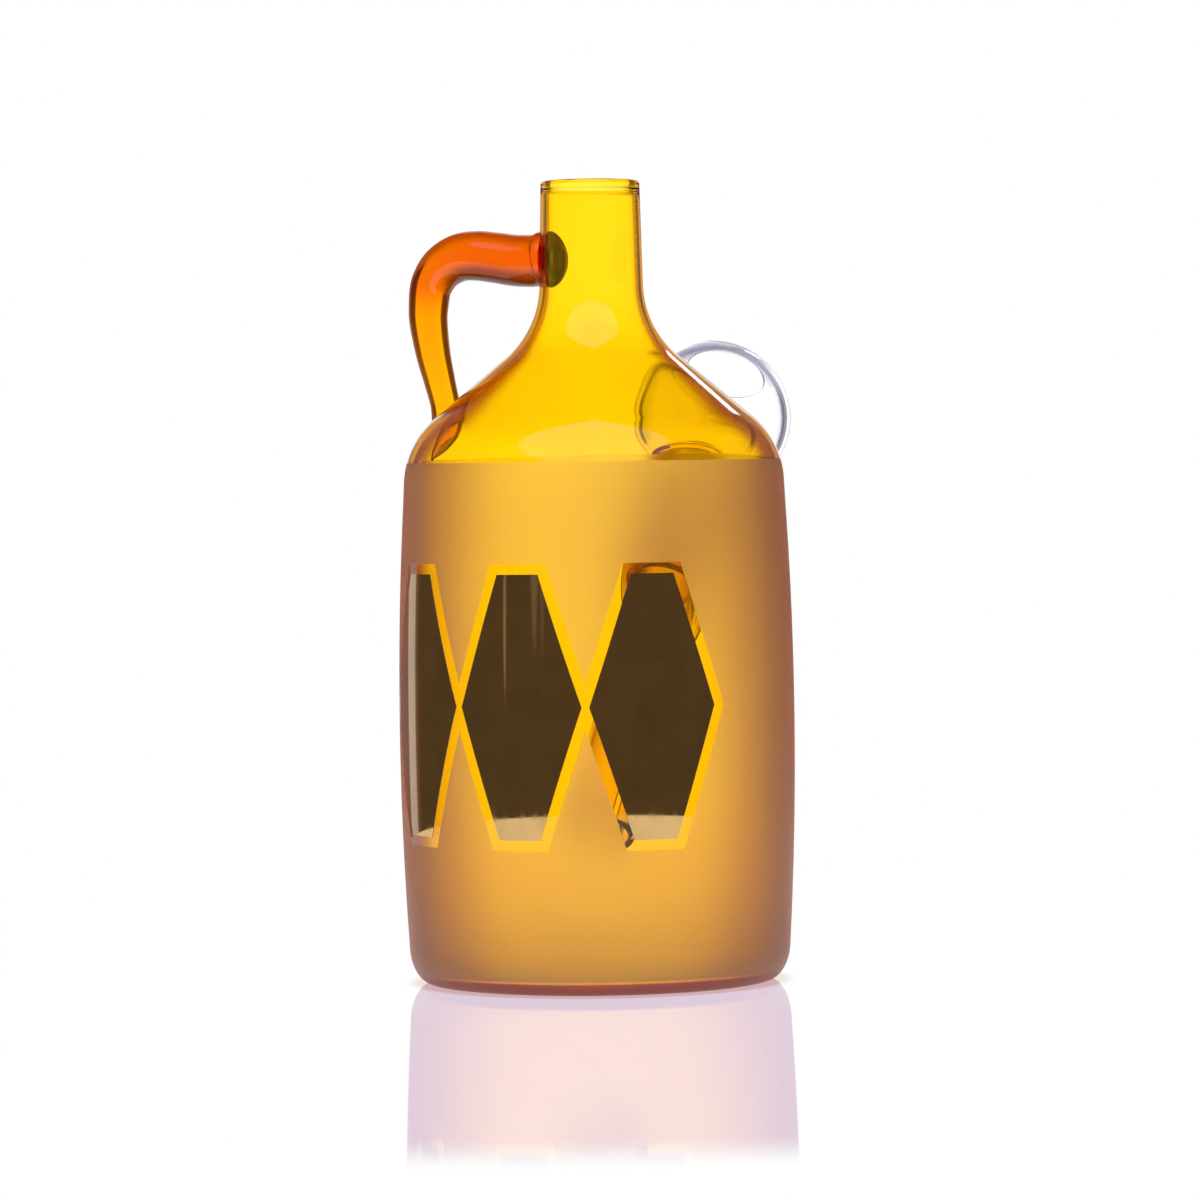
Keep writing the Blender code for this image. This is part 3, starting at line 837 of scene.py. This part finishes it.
def cutSlits(mesh, low):
    stem = bpy.data.objects.new("stem", mesh)
    scene.collection.objects.link(stem)
    blades = []
    for number in range(tube["slits"]):
        shape = bmesh.new()
        bmesh.ops.create_cube(shape, size=1)
        bmesh.ops.scale(shape, verts=shape.verts,
                        vec=(4 * tube["stemRadius"], tube["slitSize"][1], 2 * tube["slitSize"][0]))
        bladeMesh = bpy.data.meshes.new("blade")
        shape.to_mesh(bladeMesh)
        shape.free()
        turn = tube["firstSlit"] + number * pi / tube["slits"]
        bladeMesh.transform(Matrix.Translation((0, 0, low)) @ Matrix.Rotation(turn, 4, "Z"))
        blade = bpy.data.objects.new("blade", bladeMesh)
        scene.collection.objects.link(blade)
        blades.append(blade)
        slit = stem.modifiers.new("slit", "BOOLEAN")
        slit.object = blade
        slit.operation = "DIFFERENCE"
        slit.solver = "EXACT"
    depsgraph = bpy.context.evaluated_depsgraph_get()
    result = bpy.data.meshes.new_from_object(stem.evaluated_get(depsgraph))
    result.materials.clear()
    for item in blades + [stem]:
        bpy.data.objects.remove(item)
    result.shade_smooth()
    result.set_sharp_from_angle(angle=radians(35))
    return result


def onWall(around, reach, lift):
    turn = Matrix.Rotation(tube["angle"] - pi / 2, 4, "X")
    low, high = -30 * mm, 40 * mm
    for _ in range(40):
        along = (low + high) / 2
        point = tube["wallPoint"] + turn @ Vector((reach * cos(around), reach * sin(around), along))
        if Vector((point.x, point.y)).length < sideRadius(point.z) + lift:
            low = along
        else:
            high = along
    return point


def makeSocketSeal(material):
    outer, inner, lift = tube["sealRadius"], tube["socketRadius"], tube["sealLift"]
    profile = [(inner - 0.4 * mm, -0.5 * mm), (inner - 0.4 * mm, lift)]
    for i in range(9):
        share = i / 8
        profile.append((inner + (outer - inner) * share,
                        lift * (1 - share) ** 2 + 0.35 * mm * sin(pi * share)))
    profile.append((outer, -0.5 * mm))
    shape = bmesh.new()
    sides = tube["segments"]
    rings = [[shape.verts.new(onWall(2 * pi * j / sides, reach, height))
              for reach, height in profile] for j in range(sides)]
    for j in range(sides):
        this, following = rings[j], rings[(j + 1) % sides]
        for i in range(len(profile)):
            k = (i + 1) % len(profile)
            shape.faces.new((this[i], this[k], following[k], following[i]))
    mesh = meshFrom(shape, "socketSeal", 50)
    return makePiece("socketSeal", mesh, "jug", ["socket_seal"], material)


def makeDownstem(material):
    low, high = -tube["stemInside"], tube["stemTop"]
    outer, bore = tube["stemRadius"], tube["stemBore"]
    lip = (outer - bore) / 2
    profile = [(outer, high)]
    profile += evenly([(outer, high), (outer, low + lip)], 4 * mm)[1:]
    profile += arcPoints(((outer + bore) / 2, low + lip), lip, 0, -180, 8)[1:]
    profile += evenly([(bore, low + lip), (bore, high)], 4 * mm)[1:]
    mesh = turnProfile("downstem", profile, tube["segments"])
    mesh = onJointAxis(cutSlits(mesh, low))
    return makePiece("downstemTube", mesh, "jug", ["downstem"], material)


def makeSocket(material):
    low, high = -2 * mm, tube["socketEnd"]
    outer, mouth, bead = tube["socketRadius"], tube["socketMouth"], tube["bead"]
    beadCentre = (outer + 1.0 * mm - bead, high - bead)
    rim = arcPoints(beadCentre, bead, 90, -60, 14)
    bore = mouth - tube["taper"] * tube["taperLength"]
    taperEnd = high - tube["taperLength"]
    profile = [(mouth + 0.4 * mm, high)] + rim
    profile += [(outer + 0.15 * mm, high - 2.3 * bead), (outer, high - 3 * bead)]
    profile += evenly([profile[-1], (outer, low)], 4 * mm)[1:]
    profile += [(bore, low)]
    profile += evenly([(bore, low), (bore, taperEnd)], 4 * mm)[1:]
    profile += evenly([profile[-1], (mouth, high - 0.5 * mm)], 3 * mm)[1:]
    ground = [1.0 if r < mouth + 0.1 * mm and h > taperEnd - 0.1 * mm else 0.0
              for r, h in profile]
    mesh = onJointAxis(turnProfile("socket", profile, tube["segments"], marks=ground))
    return makePiece("jointSocket", mesh, "jug", ["joint_socket"], material)


def makeBowlCup(material):
    outer, wall, centre = bowl["radius"], bowl["wall"], (0, bowl["centre"])
    inner, rim = outer - wall, bowl["rimWall"] / 2
    under = tube["socketEnd"] + bowl["gap"] - bowl["centre"]
    floor = under + wall
    rimAngle = degrees(atan2(sqrt((outer - rim) ** 2 - bowl["mouth"] ** 2), bowl["mouth"]))
    floorAngle = degrees(atan2(floor, sqrt(inner ** 2 - floor ** 2)))
    underAngle = degrees(atan2(under, sqrt(outer ** 2 - under ** 2)))
    rimCentre = arcPoints(centre, outer - rim, rimAngle, rimAngle, 1)[0]
    profile = evenly([(bowl["hole"], bowl["centre"] + floor),
                      (inner * cos(radians(floorAngle)), bowl["centre"] + floor)], 1.5 * mm)
    # the wall draws in towards the fire-polished rim
    steps = 60
    for i in range(1, steps + 1):
        angle = floorAngle + (rimAngle - floorAngle) * i / steps
        thin = smoothShare(i / steps, 0.8, 1) * (wall - 2 * rim)
        profile += arcPoints(centre, inner + thin, angle, angle, 1)[:1]
    profile += arcPoints(rimCentre, rim, rimAngle + 180, rimAngle, 12)[1:-1]
    profile += arcPoints(centre, outer, rimAngle, underAngle, 72)
    profile += evenly([profile[-1], (bowl["hole"], bowl["centre"] + under)], 1.5 * mm)[1:]
    mesh = onJointAxis(turnProfile("cup", profile, 128))
    return makePiece("bowlCup", mesh, "bowl", ["bowl_cup"], material)


def makeBowlStem(material):
    high = tube["socketEnd"]
    low = high - bowl["stemLength"]
    mouth = tube["socketMouth"] - bowl["gap"]
    foot = mouth - tube["taper"] * bowl["stemLength"]
    profile = evenly([(mouth, high), (foot, low), (bowl["stemBore"], low),
                      (bowl["stemBore"], high)], 3 * mm)
    mesh = onJointAxis(turnProfile("bowlStem", profile, tube["segments"]))
    return makePiece("bowlStem", mesh, "bowl", ["bowl_stem"], material)


tubeGlass = tubeMaterial()
clearGlass = clearMaterial("clearGlass")
makeDownstem(tubeGlass)
makeSocket(tubeGlass)
makeSocketSeal(tubeGlass)
makeBowlCup(clearGlass)
makeBowlStem(clearMaterial("groundGlass", 0.32))
print("ground joint and bowl made")


weld = {"height": 160.8 * mm, "halfHeight": 6.2 * mm, "halfWidth": 5.9 * mm,
        "thickness": 1.0 * mm, "reach": 9.9 * mm}


def makeNeckSeal(material):
    half = [(1, 0), (0.99, 0.10), (0.95, 0.2), (0.88, 0.24), (0.82, 0.34), (0.76, 0.6),
            (0.68, 0.84), (0.55, 0.95), (0.3, 1), (0, 1)]
    profile = half + [(r, -h) for r, h in half[::-1][:-1]]
    profile = [(max(r, 0), h * weld["thickness"]) for r, h in profile]
    mesh = turnProfile("neckSeal", profile, 64, closed=True)
    for vert in mesh.vertices:
        across, up, out = (vert.co.y * weld["halfWidth"], vert.co.x * weld["halfHeight"],
                           vert.co.z)
        radius = weld["reach"] + out
        angle = across / weld["reach"]
        vert.co = (-radius * cos(angle), radius * sin(angle), weld["height"] + up)
    return makePiece("handleNeckSeal", mesh, "jug", ["handle_neck_seal"],
                     material)


makeNeckSeal(weldGlass)
